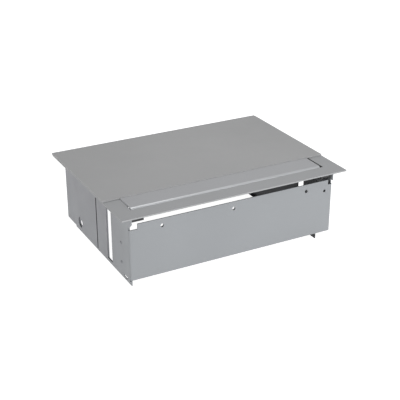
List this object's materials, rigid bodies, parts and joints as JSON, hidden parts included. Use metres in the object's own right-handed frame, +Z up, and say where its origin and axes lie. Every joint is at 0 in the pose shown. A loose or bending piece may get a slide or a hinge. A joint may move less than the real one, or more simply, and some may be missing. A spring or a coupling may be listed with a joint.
{
  "type": "built-in desk socket unit",
  "caption": "Sheet-metal desk insert with a flat frame, a hinged lid, a cable flap and an open-bottomed box that holds a tilted row of mains, charger and data outlets.",
  "frame": {"origin": "middle of the footprint, on the plane the unit's lower edges stand on", "axes": "+X along the frame's long side to the user's right, +Y towards the lid hinge at the back, +Z up"},
  "size_m": [0.3, 0.22, 0.0918],
  "materials": {
    "frame_grey": "satin powder coat on steel sheet",
    "lid_grey": "satin powder coat on steel sheet",
    "flap_grey": "satin powder coat on steel sheet",
    "shell_grey": "satin powder coat on steel sheet",
    "chassis_zinc": "zinc-plated sheet",
    "chassis_dark": "matt black coat on steel sheet",
    "bright_steel": "zinc-plated steel",
    "cast_zinc": "die-cast zinc",
    "black_plastic": "moulded, fine texture",
    "black_rubber": "matt",
    "white_plastic": "moulded, satin",
    "shutter_plastic": "moulded",
    "brass": "bright",
    "wire_brown": "extruded insulation",
    "wire_blue": "extruded insulation",
    "wire_green": "extruded insulation"
  },
  "bodies": {
    "housing": {"blank_plate": "white_plastic", "cable_bush": "black_rubber", "carrier_screws": "bright_steel", "charger_body": "white_plastic", "charger_tongues": "shutter_plastic", "chassis_plate_left": "chassis_zinc", "chassis_plate_right": "chassis_dark", "clamp_bracket_left": "chassis_zinc", "clamp_bracket_right": "chassis_zinc", "data_1_body": "white_plastic", "data_1_contacts": "brass", "data_2_body": "white_plastic", "data_2_contacts": "brass", "earth_stud": "brass", "flap_block_left": "black_plastic", "flap_block_right": "black_plastic", "flap_pin": "bright_steel", "frame_screws": "bright_steel", "front_shell": "shell_grey", "lid_hinge_pin": "bright_steel", "rear_shell": "shell_grey", "socket_1_base": "black_plastic", "socket_1_contacts": "brass", "socket_1_earth_clips": "brass", "socket_1_face": "white_plastic", "socket_2_base": "black_plastic", "socket_2_contacts": "brass", "socket_2_earth_clips": "brass", "socket_2_face": "white_plastic", "socket_3_base": "black_plastic", "socket_3_contacts": "brass", "socket_3_earth_clips": "brass", "socket_3_face": "white_plastic", "socket_carrier": "chassis_zinc", "splice_plate_right": "chassis_zinc", "terminal_block": "black_plastic", "terminal_screws": "bright_steel", "top_frame": "frame_grey", "wall_rivets": "shell_grey", "wire_earth": "wire_green", "wire_line": "wire_brown", "wire_neutral": "wire_blue"},
    "lid": {"lid_panel": "lid_grey", "lid_rail_front": "chassis_zinc", "lid_rail_rear": "chassis_zinc"},
    "flap": {"cable_flap": "flap_grey"},
    "socket_1_shutter_body": {"socket_1_shutter": "shutter_plastic"},
    "socket_2_shutter_body": {"socket_2_shutter": "shutter_plastic"},
    "socket_3_shutter_body": {"socket_3_shutter": "shutter_plastic"},
    "data_1_shutter_body": {"data_1_shutter": "white_plastic"},
    "data_2_shutter_body": {"data_2_shutter": "white_plastic"},
    "clamp_left_screw_body": {"clamp_screw_left": "bright_steel"},
    "clamp_left_carriage_body": {"clamp_carriage_left": "cast_zinc"},
    "clamp_left_claw_body": {"clamp_claw_left": "cast_zinc"},
    "clamp_right_screw_body": {"clamp_screw_right": "bright_steel"},
    "clamp_right_carriage_body": {"clamp_carriage_right": "cast_zinc"},
    "clamp_right_claw_body": {"clamp_claw_right": "cast_zinc"}
  },
  "joints": [
    {"name": "lid_hinge", "type": "hinge", "parent": "housing", "child": "lid", "pos_m": [0, 0.1084, 0.09], "axis": [-1, 0, 0], "range_deg": [0, 105]},
    {"name": "flap_hinge", "type": "hinge", "parent": "housing", "child": "flap", "pos_m": [0, -0.082, 0.0868], "axis": [1, 0, 0], "range_deg": [0, 95]},
    {"name": "socket_1_shutter_slide", "type": "slide", "parent": "housing", "child": "socket_1_shutter_body", "axis": [0, 0.4226, 0.9063], "range_m": [0, 0.0064], "stiffness_N_per_m": 60, "springref_m": -0.004},
    {"name": "socket_2_shutter_slide", "type": "slide", "parent": "housing", "child": "socket_2_shutter_body", "axis": [0, 0.4226, 0.9063], "range_m": [0, 0.0064], "stiffness_N_per_m": 60, "springref_m": -0.004},
    {"name": "socket_3_shutter_slide", "type": "slide", "parent": "housing", "child": "socket_3_shutter_body", "axis": [0, 0.4226, 0.9063], "range_m": [0, 0.0064], "stiffness_N_per_m": 60, "springref_m": -0.004},
    {"name": "data_1_shutter_slide", "type": "slide", "parent": "housing", "child": "data_1_shutter_body", "axis": [0, -0.4226, -0.9063], "range_m": [0, 0.0127], "stiffness_N_per_m": 20, "springref_m": -0.004},
    {"name": "data_2_shutter_slide", "type": "slide", "parent": "housing", "child": "data_2_shutter_body", "axis": [0, -0.4226, -0.9063], "range_m": [0, 0.0127], "stiffness_N_per_m": 20, "springref_m": -0.004},
    {"name": "clamp_left_screw_turn", "type": "hinge", "parent": "housing", "child": "clamp_left_screw_body", "pos_m": [-0.122, -0.04025, 0.042], "axis": [0, 0, -1], "range_deg": [0, 28440]},
    {"name": "clamp_left_lift", "type": "slide", "parent": "housing", "child": "clamp_left_carriage_body", "axis": [0, 0, 1], "range_m": [0, 0.063]},
    {"name": "clamp_left_swing", "type": "hinge", "parent": "clamp_left_carriage_body", "child": "clamp_left_claw_body", "pos_m": [-0.1292, -0.04025, 0.008], "axis": [0, -1, 0], "range_deg": [0, 90]},
    {"name": "clamp_right_screw_turn", "type": "hinge", "parent": "housing", "child": "clamp_right_screw_body", "pos_m": [0.122, -0.04025, 0.042], "axis": [0, 0, -1], "range_deg": [0, 28440]},
    {"name": "clamp_right_lift", "type": "slide", "parent": "housing", "child": "clamp_right_carriage_body", "axis": [0, 0, 1], "range_m": [0, 0.063]},
    {"name": "clamp_right_swing", "type": "hinge", "parent": "clamp_right_carriage_body", "child": "clamp_right_claw_body", "pos_m": [0.1292, -0.04025, 0.008], "axis": [0, 1, 0], "range_deg": [0, 90]}
  ],
  "couplings": [
    {"joint": "clamp_left_screw_turn", "follows": "clamp_left_lift", "rad_per_m": 7854},
    {"joint": "clamp_right_screw_turn", "follows": "clamp_right_lift", "rad_per_m": 7854}
  ]
}
